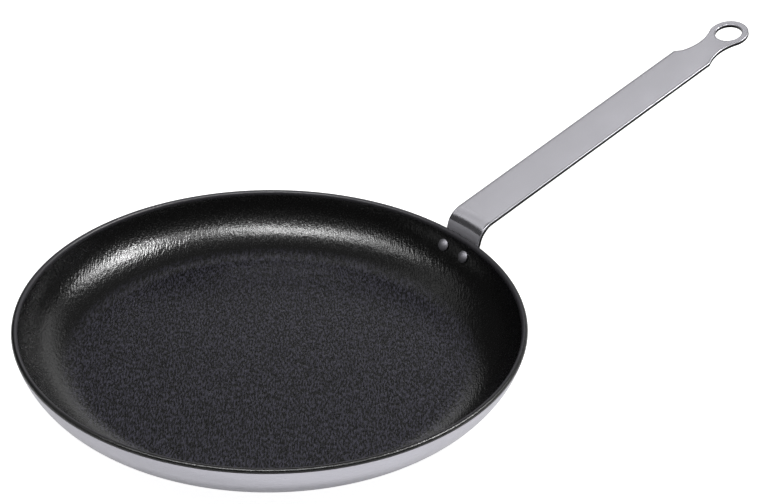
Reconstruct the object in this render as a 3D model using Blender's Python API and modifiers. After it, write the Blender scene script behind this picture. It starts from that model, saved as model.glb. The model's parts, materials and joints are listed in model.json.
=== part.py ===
"""Omelette pan: a pressed aluminium body, a non-stick lining and a riveted strip handle.

The pan stands on its base at z = 0, centred on the Z axis, and its handle runs along +X.
All sizes are in metres.
"""

import math

import bmesh
import bpy
import numpy as np
from mathutils import Matrix, Vector

# Pan, measured over the lining
RIM_RADIUS = 0.140
PAN_HEIGHT = 0.032
WALL_ANGLE = math.radians(76)
CORNER_RADIUS = 0.038

# Sheet and lining, which ends at an angle above the widest line of the lip
SHEET_THICKNESS = 0.0027
LINING_THICKNESS = 0.0003
LINING_GAP = 0.0003
LINING_END = math.radians(0)

# Handle strip and its bend
STRIP_WIDTH = 0.027
STRIP_THICKNESS = 0.0025
STRIP_EDGE = 0.0006
STRIP_GAP = 0.0003
FLAP_LENGTH = 0.018
FLAP_CORNER = 0.005
BEND_RISE = 0.0041
BEND_RADIUS = 0.0125
HANDLE_SLOPE = math.radians(15.4)
HANDLE_RUN = 0.182

# Shoulders, neck and hanging eye at the handle's end
SHOULDER_RUN = 0.0032
SHOULDER_ROUND = 0.0012
EYE_DISTANCE = 0.0333
EYE_OFFSET = -0.0017
EYE_HOLE_RADIUS = 0.0082
EYE_RING = 0.0042
NECK_WIDTH = 0.017
NECK_RADIUS = 0.027

# Rivets, side by side under the lip
RIVET_SPACING = 0.018
RIVET_DROP = 0.0086
RIVET_SHANK = 0.002
RIVET_HEAD = 0.0035
RIVET_DOME = 0.0015
RIVET_EDGE = 0.0004
RIVET_CLEARANCE = 0.0003
RIVET_SEAT = 0.0003

# Fineness of the curves
TURNED_STEPS = 80
CORNER_STEPS = 8
LIP_STEPS = 6
BEND_STEPS = 8
FLAP_STEPS = 5
ARC_STEP = math.radians(12)
RIVET_STEPS = 24
DOME_STEPS = 5
STRIP_LANES = 6
EDGE_STEPS = 1
SHARP_ANGLE = math.radians(25)
FLAT_ANGLE = math.radians(1)
SAME_POINT = 1e-6

# Sizes that follow from the ones above
WALL = SHEET_THICKNESS + LINING_GAP + LINING_THICKNESS
SKIN = LINING_GAP + LINING_THICKNESS
LIP_RADIUS = WALL / 2
UP_THE_WALL = np.array([math.cos(WALL_ANGLE), math.sin(WALL_ANGLE)])
OUT_OF_WALL = np.array([math.sin(WALL_ANGLE), -math.cos(WALL_ANGLE)])
LIP_CENTRE = np.array([RIM_RADIUS - LIP_RADIUS, PAN_HEIGHT - LIP_RADIUS])
WALL_TOP = LIP_CENTRE + OUT_OF_WALL * LIP_RADIUS
CORNER = min(CORNER_RADIUS, WALL_TOP[1] / (1 - math.cos(WALL_ANGLE)))
STRAIGHT_WALL = (WALL_TOP[1] - CORNER * (1 - math.cos(WALL_ANGLE))) / math.sin(WALL_ANGLE)
BASE_RADIUS = WALL_TOP[0] - STRAIGHT_WALL * math.cos(WALL_ANGLE) - CORNER * math.sin(WALL_ANGLE)
WALL_LENGTH = STRAIGHT_WALL + CORNER * WALL_ANGLE
EYE_RADIUS = EYE_HOLE_RADIUS + EYE_RING


def meridian(drop, inset):
    """Point (r, z) and slope of the wall, a distance down from the lip and a depth in from outside.

    The wall is straight below the lip and then follows the corner's arc down to the base.
    """
    if drop <= STRAIGHT_WALL:
        return WALL_TOP - UP_THE_WALL * drop - OUT_OF_WALL * inset, WALL_ANGLE
    slope = WALL_ANGLE - (drop - STRAIGHT_WALL) / CORNER
    radius = CORNER - inset
    point = np.array([BASE_RADIUS + radius * math.sin(slope), CORNER - radius * math.cos(slope)])
    return point, slope


def wall_run(start, end, inset):
    """Points of one face of the wall between two distances from the lip, going down."""
    arc = STRAIGHT_WALL + CORNER * WALL_ANGLE * np.linspace(0, 1, CORNER_STEPS + 1)
    between = [drop for drop in arc if start + SAME_POINT < drop < end - SAME_POINT]
    return [meridian(drop, inset)[0] for drop in [start, *between, end]]


def lip_arc(radius, end):
    """Arc over the lip, from the inner face to an angle above the lip's widest line."""
    angles = np.linspace(WALL_ANGLE + math.pi / 2, end, LIP_STEPS + 1)
    return [LIP_CENTRE + radius * np.array([math.cos(a), math.sin(a)]) for a in angles]


def without_repeats(points):
    """The points in order, leaving out any that lies on the one before it."""
    kept = [points[0]]
    for point in points[1:]:
        if np.linalg.norm(np.subtract(point, kept[-1])) > SAME_POINT:
            kept.append(point)
    return kept


def body_profile():
    """Sheet from the middle of the floor, over the lip, down outside and back under the base.

    Under the lining the lip is drawn in by the lining's depth, so that the lining lies flush.
    """
    inside = wall_run(0, WALL_LENGTH, SHEET_THICKNESS)[::-1]
    lip = lip_arc(LIP_RADIUS - SKIN, WALL_ANGLE - math.pi / 2)
    return [(0, SHEET_THICKNESS), *inside, *lip, *wall_run(0, WALL_LENGTH, 0), (0, 0)]


def lining_profile():
    """Lining from the middle of its cooking face to its end on the lip, and back underneath."""
    cooking_face = wall_run(0, WALL_LENGTH, WALL)[::-1] + lip_arc(LIP_RADIUS, LINING_END)
    hidden_face = lip_arc(LIP_RADIUS - LINING_THICKNESS, LINING_END)[::-1]
    hidden_face += wall_run(0, WALL_LENGTH, WALL - LINING_THICKNESS)
    return [(0, WALL), *cooking_face, *hidden_face, (0, WALL - LINING_THICKNESS)]


def dome(radius, height, steps):
    """Points of a spherical cap from its top to its edge, with the edge at height zero."""
    ball = (radius ** 2 + height ** 2) / (2 * height)
    reach = math.asin(min(radius / ball, 1.0))
    angles = np.linspace(0, reach, steps + 1)
    return [(ball * math.sin(a), ball * math.cos(a) - ball + height) for a in angles]


def rivet_profile():
    """Rivet from the top of its inner head, down its shank, to the bottom of its outer head.

    Zero is the wall's outer face. The inner head stands clear of the wall's hollow curve.
    """
    hollow = RIVET_HEAD ** 2 / (2 * (CORNER - WALL))
    inner_seat = WALL + RIVET_SEAT + hollow
    outer_seat = -(STRIP_GAP + STRIP_THICKNESS + RIVET_SEAT)
    cap = dome(RIVET_HEAD, RIVET_DOME, DOME_STEPS)
    inner_head = [(r, inner_seat + RIVET_EDGE + z) for r, z in cap]
    outer_head = [(r, outer_seat - RIVET_EDGE - z) for r, z in cap[::-1]]
    shank = [(RIVET_HEAD, inner_seat), (RIVET_SHANK, inner_seat)]
    shank += [(RIVET_SHANK, outer_seat), (RIVET_HEAD, outer_seat)]
    return inner_head + shank + outer_head


def strip_path():
    """Lengths along the strip's inner face where it changes: flap arc, wall, bend and run."""
    flap = max(FLAP_LENGTH - STRAIGHT_WALL, 0) * (CORNER + STRIP_GAP) / CORNER
    wall = min(FLAP_LENGTH, STRAIGHT_WALL) + BEND_RISE
    bend = BEND_RADIUS * (WALL_ANGLE - HANDLE_SLOPE)
    return np.cumsum([flap, wall, bend])


FLAP_END, BEND_START, BEND_END = strip_path()
SHOULDER = BEND_END + HANDLE_RUN
EYE = SHOULDER + EYE_DISTANCE


def strip_frame(along):
    """Point (x, z) on the strip's inner face, and its direction, at a length along the strip."""
    top = WALL_TOP + OUT_OF_WALL * STRIP_GAP
    if along < FLAP_END:
        slope = WALL_ANGLE - (FLAP_END - along) / (CORNER + STRIP_GAP)
        radius = CORNER + STRIP_GAP
        return BASE_RADIUS + radius * math.sin(slope), CORNER - radius * math.cos(slope), slope
    if along < BEND_START:
        point = top + UP_THE_WALL * (BEND_RISE - (BEND_START - along))
        return point[0], point[1], WALL_ANGLE
    slope = max(WALL_ANGLE - (along - BEND_START) / BEND_RADIUS, HANDLE_SLOPE)
    start = top + UP_THE_WALL * BEND_RISE
    x = start[0] + BEND_RADIUS * (math.sin(WALL_ANGLE) - math.sin(slope))
    z = start[1] + BEND_RADIUS * (math.cos(slope) - math.cos(WALL_ANGLE))
    past = max(along - BEND_END, 0)
    return x + past * math.cos(slope), z + past * math.sin(slope), slope


def hug(along):
    """How closely the strip follows the pan's round wall: 1 on the flap, 0 past the bend."""
    share = min(max((along - BEND_START) / (BEND_END - BEND_START), 0), 1)
    return 1 - share * share * (3 - 2 * share)


def bent(along, across, depth):
    """Place a point of the flat blank on the bent strip."""
    x, z, slope = strip_frame(along)
    x += depth * math.sin(slope)
    z -= depth * math.cos(slope)
    turn = across / RIM_RADIUS
    share = hug(along)
    round_x, round_y = x * math.cos(turn), x * math.sin(turn)
    return Vector((x + share * (round_x - x), across + share * (round_y - across), z))


def arc_points(centre, radius, start, end):
    """Points on a circle from one angle to another, about one for each step of angle."""
    count = max(2, math.ceil(abs(end - start) / ARC_STEP))
    angles = np.linspace(start, end, count + 1)
    return [(centre[0] + radius * math.cos(a), centre[1] + radius * math.sin(a)) for a in angles]


def rounded(before, corner, after, radius):
    """Arc that rounds a corner between two straight lines."""
    corner = np.array(corner)
    back = np.array(before) - corner
    ahead = np.array(after) - corner
    room = min(np.linalg.norm(back), np.linalg.norm(ahead)) - SAME_POINT
    back /= np.linalg.norm(back)
    ahead /= np.linalg.norm(ahead)
    half = math.acos(float(np.clip(back @ ahead, -1, 1))) / 2
    setback = min(radius / math.tan(half), room)
    radius = setback * math.tan(half)
    middle = back + ahead
    centre = corner + middle / np.linalg.norm(middle) * (radius / math.sin(half))
    start = corner + back * setback - centre
    end = corner + ahead * setback - centre
    first = math.atan2(start[1], start[0])
    turn = math.atan2(end[1], end[0]) - first
    turn = (turn + math.pi) % (2 * math.pi) - math.pi
    return arc_points(centre, radius, first, first + turn)


def end_half():
    """One side of the handle's end, from its shoulder round to the tip, about the eye's axis.

    A hollow arc touches the ring of the eye and is narrowest at the neck.
    """
    reach = NECK_WIDTH / 2 + NECK_RADIUS
    neck = EYE - math.sqrt((NECK_RADIUS + EYE_RADIUS) ** 2 - reach ** 2)
    begin = SHOULDER + SHOULDER_RUN
    first = math.acos((begin - neck) / NECK_RADIUS)
    touch = math.atan2(reach, EYE - neck)
    hollow = arc_points((neck, reach), NECK_RADIUS, -first, -touch)
    ring = arc_points((EYE, 0), EYE_RADIUS, math.pi - touch, 0)
    return hollow + ring[1:]


def blank_outline():
    """Outline of the flat strip before it is bent, running along one side and back the other."""
    half = STRIP_WIDTH / 2
    sides = []
    for side in (-1, 1):
        tail = [(s, EYE_OFFSET + side * y) for s, y in end_half()]
        root = [(0, 0), (0, side * half), (SHOULDER, side * half)]
        corner = rounded(*root, FLAP_CORNER)
        shoulder = rounded(root[1], root[2], tail[0], SHOULDER_ROUND)
        sides.append(corner + shoulder + tail)
    return without_repeats(sides[0] + sides[1][::-1])


def rivet_place():
    """Length along the strip, and turn about the pan's axis, of the rivets."""
    beyond_straight = max(RIVET_DROP - STRAIGHT_WALL, 0) * (CORNER + STRIP_GAP) / CORNER
    along = BEND_START - BEND_RISE - min(RIVET_DROP, STRAIGHT_WALL) - beyond_straight
    return along, RIVET_SPACING / 2 / RIM_RADIUS


def make_material(name, colour, roughness, metallic):
    """Principled material with one colour."""
    material = bpy.data.materials.new(name)
    material.use_nodes = True
    shader = material.node_tree.nodes["Principled BSDF"]
    shader.inputs["Base Color"].default_value = (*colour, 1)
    shader.inputs["Roughness"].default_value = roughness
    shader.inputs["Metallic"].default_value = metallic
    return material


def add_object(name, mesh, collection, material=None):
    """Put a mesh in the scene as a named object."""
    item = bpy.data.objects.new(name, mesh)
    collection.objects.link(item)
    if material:
        mesh.materials.append(material)
    return item


def turned(name, profile, steps, collection, material):
    """Solid of revolution about Z from a profile that runs from axis to axis."""
    points = [(r, 0, z) for r, z in without_repeats(profile)]
    edges = [(i, i + 1) for i in range(len(points) - 1)]
    mesh = bpy.data.meshes.new(name)
    mesh.from_pydata(points, edges, [])
    item = add_object(name, mesh, collection, material)
    screw = item.modifiers.new("turn", "SCREW")
    screw.steps = steps
    screw.render_steps = steps
    screw.use_merge_vertices = True
    screw.merge_threshold = SAME_POINT
    screw.use_smooth_shade = True
    return item


def flat_blank(outline, holes):
    """Mesh of the punched strip with rounded edges, lying in XY with its thickness along Z."""
    curve = bpy.data.curves.new("blank", "CURVE")
    curve.dimensions = "2D"
    curve.fill_mode = "BOTH"
    curve.extrude = STRIP_THICKNESS / 2 - STRIP_EDGE
    curve.bevel_depth = STRIP_EDGE
    curve.bevel_resolution = EDGE_STEPS
    curve.offset = -STRIP_EDGE
    for loop in [outline, *holes]:
        spline = curve.splines.new("POLY")
        spline.points.add(len(loop) - 1)
        for point, (x, y) in zip(spline.points, loop):
            point.co = (x, y, 0, 1)
        spline.use_cyclic_u = True
    item = bpy.data.objects.new("blank", curve)
    bpy.context.scene.collection.objects.link(item)
    graph = bpy.context.evaluated_depsgraph_get()
    mesh = bpy.data.meshes.new_from_object(item.evaluated_get(graph))
    bpy.data.objects.remove(item)
    return mesh


def cut_across(shape, normal, stations, limit=math.inf):
    """Cut the faces of the blank on planes square to an axis, as far along as the limit."""
    for station in stations:
        faces = [face for face in shape.faces if face.calc_center_bounds().x < limit]
        edges = {edge for face in faces for edge in face.edges}
        points = {vertex for face in faces for vertex in face.verts}
        bmesh.ops.bisect_plane(
            shape,
            geom=[*points, *edges, *faces],
            dist=SAME_POINT,
            plane_co=Vector(normal) * station,
            plane_no=normal,
        )


def make_handle(collection, material):
    """Punch the blank, crease it where it will bend, and bend it to the wall and the handle."""
    along, turn = rivet_place()
    across = turn * RIM_RADIUS
    bore = RIVET_SHANK + RIVET_CLEARANCE
    holes = [arc_points((EYE, EYE_OFFSET), EYE_HOLE_RADIUS, 2 * math.pi, 0)[:-1]]
    holes += [arc_points((along, side * across), bore, 2 * math.pi, 0)[:-1] for side in (-1, 1)]
    mesh = flat_blank(blank_outline(), holes)

    shape = bmesh.new()
    shape.from_mesh(mesh)
    bmesh.ops.remove_doubles(shape, verts=shape.verts, dist=SAME_POINT)
    bmesh.ops.dissolve_limit(
        shape, angle_limit=FLAT_ANGLE, verts=shape.verts, edges=shape.edges
    )
    flap = np.linspace(0, FLAP_END, FLAP_STEPS + 1)
    bend = np.linspace(BEND_START, BEND_END, BEND_STEPS + 1)
    cut_across(shape, (1, 0, 0), [*flap[1:], *bend])
    lanes = np.linspace(-STRIP_WIDTH / 2, STRIP_WIDTH / 2, STRIP_LANES + 1)
    cut_across(shape, (0, 1, 0), lanes[1:-1], BEND_END)
    for vertex in shape.verts:
        depth = STRIP_THICKNESS / 2 - vertex.co.z
        vertex.co = bent(vertex.co.x, vertex.co.y, depth)
    bmesh.ops.triangulate(shape, faces=shape.faces)
    bmesh.ops.recalc_face_normals(shape, faces=shape.faces)
    shape.to_mesh(mesh)
    shape.free()
    mesh.shade_smooth()
    mesh.set_sharp_from_angle(angle=SHARP_ANGLE)
    mesh.name = "handle"
    return add_object("handle", mesh, collection, material)


def rivet_matrix(side):
    """Place of a rivet: on the wall's outer face, with local +Z square to the wall and inwards."""
    point, slope = meridian(RIVET_DROP, 0)
    turn = side * rivet_place()[1]
    inward = Vector((-math.sin(slope), 0, math.cos(slope)))
    facing = inward.to_track_quat("Z", "Y").to_matrix().to_4x4()
    place = Matrix.Translation((point[0], 0, point[1]))
    return Matrix.Rotation(turn, 4, "Z") @ place @ facing


def make_cutter(name, side, collection):
    """Cylinder that clears a rivet's shank through the wall."""
    shape = bmesh.new()
    bmesh.ops.create_cone(
        shape,
        cap_ends=True,
        segments=RIVET_STEPS,
        radius1=RIVET_SHANK + RIVET_CLEARANCE,
        radius2=RIVET_SHANK + RIVET_CLEARANCE,
        depth=2 * (WALL + RIVET_HEAD),
    )
    mesh = bpy.data.meshes.new(name)
    shape.to_mesh(mesh)
    shape.free()
    cutter = add_object(name, mesh, collection)
    cutter.matrix_world = rivet_matrix(side)
    cutter.hide_render = True
    cutter.display_type = "WIRE"
    return cutter


def drill(item, cutters):
    """Cut the rivets' holes."""
    for cutter in cutters:
        hole = item.modifiers.new("hole", "BOOLEAN")
        hole.operation = "DIFFERENCE"
        hole.solver = "EXACT"
        hole.object = cutter


def main():
    """Build the pan."""
    for item in list(bpy.data.objects):
        bpy.data.objects.remove(item)
    parts = bpy.data.collections.new("omelette_pan")
    tools = bpy.data.collections.new("cutters")
    for collection in (parts, tools):
        bpy.context.scene.collection.children.link(collection)

    aluminium = make_material("satin_aluminium", (0.44, 0.43, 0.48), 0.35, 1)
    lining = make_material("dark_nonstick_lining", (0.035, 0.034, 0.039), 0.45, 0)
    steel = make_material("satin_steel", (0.46, 0.45, 0.50), 0.32, 1)
    rivet_metal = make_material("bare_rivet_aluminium", (0.58, 0.58, 0.60), 0.3, 1)

    sides = {"left": 1, "right": -1}
    cutters = [make_cutter("hole_" + name, side, tools) for name, side in sides.items()]
    drill(turned("pan_body", body_profile(), TURNED_STEPS, parts, aluminium), cutters)
    drill(turned("nonstick_coating", lining_profile(), TURNED_STEPS, parts, lining), cutters)
    make_handle(parts, steel)
    for name, side in sides.items():
        rivet = turned("rivet_" + name, rivet_profile(), RIVET_STEPS, parts, rivet_metal)
        rivet.matrix_world = rivet_matrix(side)

    print("wall length", round(WALL_LENGTH * 1000, 1), "mm, base radius", round(BASE_RADIUS * 1000, 1))


main()
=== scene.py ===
# %% [markdown]
# # A riveted omelette pan
# A shallow pan is pressed from one aluminium sheet. Its inside carries a dark non-stick coat, and a
# flat steel strip is bent and riveted on as a handle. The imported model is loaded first, as a frame:
# every finer surface below lies where that model says, in metres, with +Z up and the handle
# along +X.

import json
import math

import bmesh
import bpy
import numpy as np
from mathutils import Matrix, Vector

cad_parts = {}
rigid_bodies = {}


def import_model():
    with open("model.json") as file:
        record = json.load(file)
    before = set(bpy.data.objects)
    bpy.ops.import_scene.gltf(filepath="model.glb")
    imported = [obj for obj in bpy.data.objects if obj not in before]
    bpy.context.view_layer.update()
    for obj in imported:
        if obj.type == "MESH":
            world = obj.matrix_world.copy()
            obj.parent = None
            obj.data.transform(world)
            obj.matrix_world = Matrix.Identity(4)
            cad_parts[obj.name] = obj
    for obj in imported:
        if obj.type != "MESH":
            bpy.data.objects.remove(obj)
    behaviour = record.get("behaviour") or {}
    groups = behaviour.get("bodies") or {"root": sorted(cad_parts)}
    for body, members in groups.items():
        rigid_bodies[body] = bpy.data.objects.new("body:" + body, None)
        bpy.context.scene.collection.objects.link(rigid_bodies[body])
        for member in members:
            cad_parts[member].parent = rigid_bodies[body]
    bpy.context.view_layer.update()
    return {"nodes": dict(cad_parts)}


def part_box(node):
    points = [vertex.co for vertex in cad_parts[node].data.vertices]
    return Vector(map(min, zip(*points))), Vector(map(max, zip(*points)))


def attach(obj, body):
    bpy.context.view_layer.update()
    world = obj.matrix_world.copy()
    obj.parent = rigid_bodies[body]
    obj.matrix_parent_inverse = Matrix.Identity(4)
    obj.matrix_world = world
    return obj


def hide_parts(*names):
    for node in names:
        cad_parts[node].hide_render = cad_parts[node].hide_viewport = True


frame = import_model()
print("frame:", sorted(frame["nodes"]))

# %% [markdown]
# ## Sizes
# The coat reaches from the rim to just above the ground, so its box gives the pan's radius and
# height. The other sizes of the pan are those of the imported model, each written once. The sizes of
# the strip and the rivets follow where they are first needed.

# %% Sizes of the pan
rim_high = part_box("nonstick_coating")[1]
RIM_RADIUS = round(rim_high.x, 4)
PAN_HEIGHT = round(rim_high.z, 4)
WALL_ANGLE = math.radians(76)
CORNER_RADIUS = 0.038
COAT_THICKNESS = 0.0003
COAT_GAP = 0.0003
SHEET_THICKNESS = 0.0027
SKIN = COAT_GAP + COAT_THICKNESS
WALL = SHEET_THICKNESS + SKIN
LIP_RADIUS = WALL / 2
print("pan", RIM_RADIUS * 2000, "mm wide and", PAN_HEIGHT * 1000, "mm high")

# %% [markdown]
# ## From grids to a closed mesh
# A pan is all surfaces of two parameters, so each stretch of it is worked out with numpy as a grid
# of points. The grids of one piece share their border points. Laying the grids side by side and
# merging those points gives one closed mesh, and a grid row that shrinks to a point closes a pole.
# Sculpting or a chain of modifiers would do too, but a formula keeps every curve exact.

# %% Join grids into a piece
MERGE_DISTANCE = 2e-6
SHARP_ANGLE = math.radians(40)


def grid_quads(rows, columns, first):
    """Corner numbers of the quads of a grid: point (i, j) is numbered first + i * columns + j."""
    corner = first + np.arange(rows - 1)[:, None] * columns + np.arange(columns - 1)
    return np.stack([corner, corner + 1, corner + columns + 1, corner + columns], axis=-1)


def piece_from(name, grids, material):
    """Merge grids of points into one closed, smooth mesh whose faces point outwards.

    A grid is an array of rows x columns x 3, or x 4 where the fourth number says how much the
    metal is painted near black there: its torn zone, and painted shade on its edge. A mask beside it
    leaves out some of its quads.
    """
    points, tear_and_edge_shade, quads, first = [], [], [], 0
    for grid, keep in grids:
        faces = grid_quads(grid.shape[0], grid.shape[1], first)
        quads.append(faces[keep] if keep is not None else faces.reshape(-1, 4))
        points.append(grid[..., :3].reshape(-1, 3))
        tear_and_edge_shade.append(grid[..., 3].ravel() if grid.shape[2] > 3 else np.zeros(len(points[-1])))
        first += grid.shape[0] * grid.shape[1]
    mesh = bpy.data.meshes.new(name)
    mesh.from_pydata(np.concatenate(points).tolist(), [], np.concatenate(quads).tolist())
    mesh.attributes.new("tear_and_edge_shade", "FLOAT", "POINT").data.foreach_set("value", np.concatenate(tear_and_edge_shade))
    shape = bmesh.new()
    shape.from_mesh(mesh)
    bmesh.ops.remove_doubles(shape, verts=shape.verts, dist=MERGE_DISTANCE)
    bmesh.ops.recalc_face_normals(shape, faces=shape.faces)
    loose = sum(1 for edge in shape.edges if len(edge.link_faces) != 2)
    volume = shape.calc_volume(signed=True)
    shape.to_mesh(mesh)
    shape.free()
    mesh.shade_smooth()
    mesh.set_sharp_from_angle(angle=SHARP_ANGLE)
    mesh.materials.append(material)
    piece = bpy.data.objects.new(name, mesh)
    bpy.context.scene.collection.objects.link(piece)
    print(name, len(mesh.polygons), "faces,", loose, "open edges,", round(volume * 1e6, 2), "cm3")
    return piece


# %% [markdown]
# ## A hole in a grid
# The rivets pass through the sheet, the coat and the strip. A Boolean would cut those holes, but it
# leaves long thin faces that shade badly. Here the quads of a small block are left out of the grid,
# and a ring of quads leads from the block's border to a circle.


# %% Ring from a closed border to a circle
def circle_ring(border, centre, radius, steps):
    """Grid between a closed border and a circle, in the plane of the two parameters.

    Each border point keeps its direction from the centre, so row k is the border drawn k/steps of
    the way in towards the circle.
    """
    away = border - centre
    circle = centre + away / np.linalg.norm(away, axis=1)[:, None] * radius
    share = np.linspace(0, 1, steps + 1)[:, None, None]
    return border * (1 - share) + circle * share


def block_border(us, vs):
    """Points round a block of a grid, closed, with a grid's own lines us and vs as its marks."""
    low = np.stack([us, np.full_like(us, vs[0])], 1)
    high = np.stack([us, np.full_like(us, vs[-1])], 1)[::-1]
    right = np.stack([np.full_like(vs, us[-1]), vs], 1)[1:-1]
    left = np.stack([np.full_like(vs, us[0]), vs], 1)[1:-1][::-1]
    return np.concatenate([low, right, high, left, low[:1]])


# %% [markdown]
# ## The pan's wall
# Every face of the sheet and of its coat is the same curve, drawn in by some depth: straight below
# the lip, then a round corner down to the flat base. Each could be drawn on its own, but one
# formula gives them all and keeps the sheet equally thick.

# %% The wall's curve
LIP_STEPS = 24
UP_THE_WALL = np.array([math.cos(WALL_ANGLE), math.sin(WALL_ANGLE)])
OUT_OF_WALL = np.array([math.sin(WALL_ANGLE), -math.cos(WALL_ANGLE)])
LIP_CENTRE = np.array([RIM_RADIUS - LIP_RADIUS, PAN_HEIGHT - LIP_RADIUS])
WALL_TOP = LIP_CENTRE + OUT_OF_WALL * LIP_RADIUS
STRAIGHT_WALL = (WALL_TOP[1] - CORNER_RADIUS * (1 - math.cos(WALL_ANGLE))) / math.sin(WALL_ANGLE)
BASE_RADIUS = (
    WALL_TOP[0] - STRAIGHT_WALL * math.cos(WALL_ANGLE) - CORNER_RADIUS * math.sin(WALL_ANGLE)
)
WALL_LENGTH = STRAIGHT_WALL + CORNER_RADIUS * WALL_ANGLE


def wall_curve(drop, inset):
    """Radius and height on the wall, a length down from the lip and a depth in from its outside.

    Down to STRAIGHT_WALL the point slides down a straight line. Past it the slope falls evenly
    with length, so the point runs round a circle about (BASE_RADIUS, CORNER_RADIUS).
    """
    drop = np.asarray(drop, float)
    straight = WALL_TOP - UP_THE_WALL * drop[..., None] - OUT_OF_WALL * inset
    slope = WALL_ANGLE - (drop - STRAIGHT_WALL) / CORNER_RADIUS
    reach = CORNER_RADIUS - inset
    arc = np.stack([BASE_RADIUS + reach * np.sin(slope), CORNER_RADIUS - reach * np.cos(slope)], -1)
    return np.where((drop <= STRAIGHT_WALL)[..., None], straight, arc)


def lip_curve(radius, end):
    """Arc over the lip, from the wall's inner face to an angle counted up from its widest line."""
    turn = np.linspace(WALL_ANGLE + math.pi / 2, end, LIP_STEPS + 1)
    return LIP_CENTRE + radius * np.stack([np.cos(turn), np.sin(turn)], -1)


print("wall", round(WALL_LENGTH * 1000, 1), "mm long")
print("base", round(BASE_RADIUS * 2000, 1), "mm wide")

# %% Sweep a curve round the axis
AROUND_STEPS = 360
DISC_RINGS = 24
WALL_STEP = 0.001


def turned(curve, around):
    """Grid of a curve of radius and height, swept to each of the angles around the Z axis."""
    radius, height = curve[:, 0][:, None], curve[:, 1][:, None]
    flat = np.ones_like(around)
    return np.stack([radius * np.cos(around), radius * np.sin(around), height * flat], -1)


def disc(radius, height, around):
    """Grid of a flat disc, from its rim to the pole in its middle."""
    spokes = np.linspace(radius, 0, DISC_RINGS + 1)
    return turned(np.stack([spokes, np.full_like(spokes, height)], 1), around)


AROUND = np.linspace(0, 2 * math.pi, AROUND_STEPS + 1)
DROPS = np.unique(np.concatenate([
    [0, STRAIGHT_WALL],
    np.arange(2 * WALL_STEP, WALL_LENGTH, WALL_STEP),
    [WALL_LENGTH],
]))
print("grid of the wall:", len(DROPS), "rows of", AROUND_STEPS, "steps")

# %% The wall with its rivet holes
RIVET_SPACING = 0.018
RIVET_DROP = 0.0086
RIVET_SHANK = 0.002
RIVET_PLAY = 0.0003
RIVET_HOLE = RIVET_SHANK + RIVET_PLAY
RIVET_TURN = RIVET_SPACING / 2 / RIM_RADIUS
HOLE_RINGS = 6
BORE_STEPS = 3
# A hole takes a block of the grid that reaches this far to either side, and this far up and down.
ROOM_AROUND = 0.0058
ROOM_DOWN = 0.0042


def rivet_blocks(around, drops):
    """Index ranges of the two blocks of the wall's grid that make room for the rivets."""
    blocks = []
    for side in (1, -1):
        turn = side * RIVET_TURN % (2 * math.pi)
        u = np.where(np.abs(around - turn) < ROOM_AROUND / RIM_RADIUS)[0]
        v = np.where(np.abs(drops - RIVET_DROP) < ROOM_DOWN)[0]
        blocks.append((turn, u[0], u[-1], v[0], v[-1]))
    return blocks


def wall_face(drops, inset, holes):
    """Grids of one face of the wall, and the rims of its holes.

    The face is the wall's curve swept round the axis. Round each rivet a block of it gives way to
    a ring, worked out in lengths round and down the wall, where the hole is a true circle.
    """
    def place(turn, drop):
        curve = wall_curve(drop, inset)
        radius, height = curve[..., 0], curve[..., 1]
        return np.stack([radius * np.cos(turn), radius * np.sin(turn), height], -1)

    keep = np.ones((len(drops) - 1, len(AROUND) - 1), bool)
    grids, rims = [], []
    for turn, u0, u1, v0, v1 in (rivet_blocks(AROUND, drops) if holes else []):
        keep[v0:v1, u0:u1] = False
        scale = np.array([RIM_RADIUS, 1.0])
        border = block_border(AROUND[u0:u1 + 1] - turn, drops[v0:v1 + 1]) * scale
        ring = circle_ring(border, np.array([0, RIVET_DROP]), RIVET_HOLE, HOLE_RINGS) / scale
        grids.append((place(ring[..., 0] + turn, ring[..., 1]), None))
        rims.append(grids[-1][0][-1])
    grids.append((place(AROUND[None, :], np.tile(drops[:, None], len(AROUND))), keep))
    return grids, rims


def bores(inner_rims, outer_rims):
    """Grids of the walls of the holes, straight between the rims on the two faces."""
    share = np.linspace(0, 1, BORE_STEPS + 1)[:, None, None]
    return [(one * (1 - share) + two * share, None) for one, two in zip(inner_rims, outer_rims)]


print("rivet holes", round(RIVET_HOLE * 2000, 1), "mm wide")

# %% [markdown]
# ## The pressed body
# The body is one sheet of aluminium, pressed and then dressed on a lathe. Its lip is rounded over,
# and it is drawn in there by the coat and the gap behind it, so that the coat ends flush outside.
# A profile with a Screw modifier would give the same round faces, but the rivet holes would have
# to be cut from them. A grid leaves room for the holes.

# %% Grids of the body
inner_face, inner_rims = wall_face(DROPS, SHEET_THICKNESS, holes=True)
outer_face, outer_rims = wall_face(DROPS, 0, holes=True)
drawn_in = lip_curve(LIP_RADIUS - SKIN, WALL_ANGLE - math.pi / 2)
body_grids = [
    (disc(BASE_RADIUS, SHEET_THICKNESS, AROUND), None),
    (disc(BASE_RADIUS, 0, AROUND), None),
    (turned(np.concatenate([drawn_in, WALL_TOP[None]]), AROUND), None),
    *inner_face,
    *outer_face,
    *bores(inner_rims, outer_rims),
]
print("body:", len(body_grids), "grids")

# %% [markdown]
# ## The non-stick coat
# The coat is sprayed on the inside and over the lip, down to the lip's widest line, and baked. A
# real one is a few hundredths of a millimetre thick, and could be a second material on the body's
# inner face. Here it is a closed shell 0.3 mm thick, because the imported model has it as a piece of
# its own.

# %% Grids of the coat
cooking_face, cooking_rims = wall_face(DROPS, WALL, holes=True)
hidden_face, hidden_rims = wall_face(DROPS, WALL - COAT_THICKNESS, holes=True)
over_lip = np.concatenate([
    lip_curve(LIP_RADIUS, 0), lip_curve(LIP_RADIUS - COAT_THICKNESS, 0)[::-1],
])
coat_grids = [
    (disc(BASE_RADIUS, WALL, AROUND), None),
    (disc(BASE_RADIUS, WALL - COAT_THICKNESS, AROUND), None),
    (turned(over_lip, AROUND), None),
    *cooking_face,
    *hidden_face,
    *bores(cooking_rims, hidden_rims),
]
print("coat:", len(coat_grids), "grids")

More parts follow.
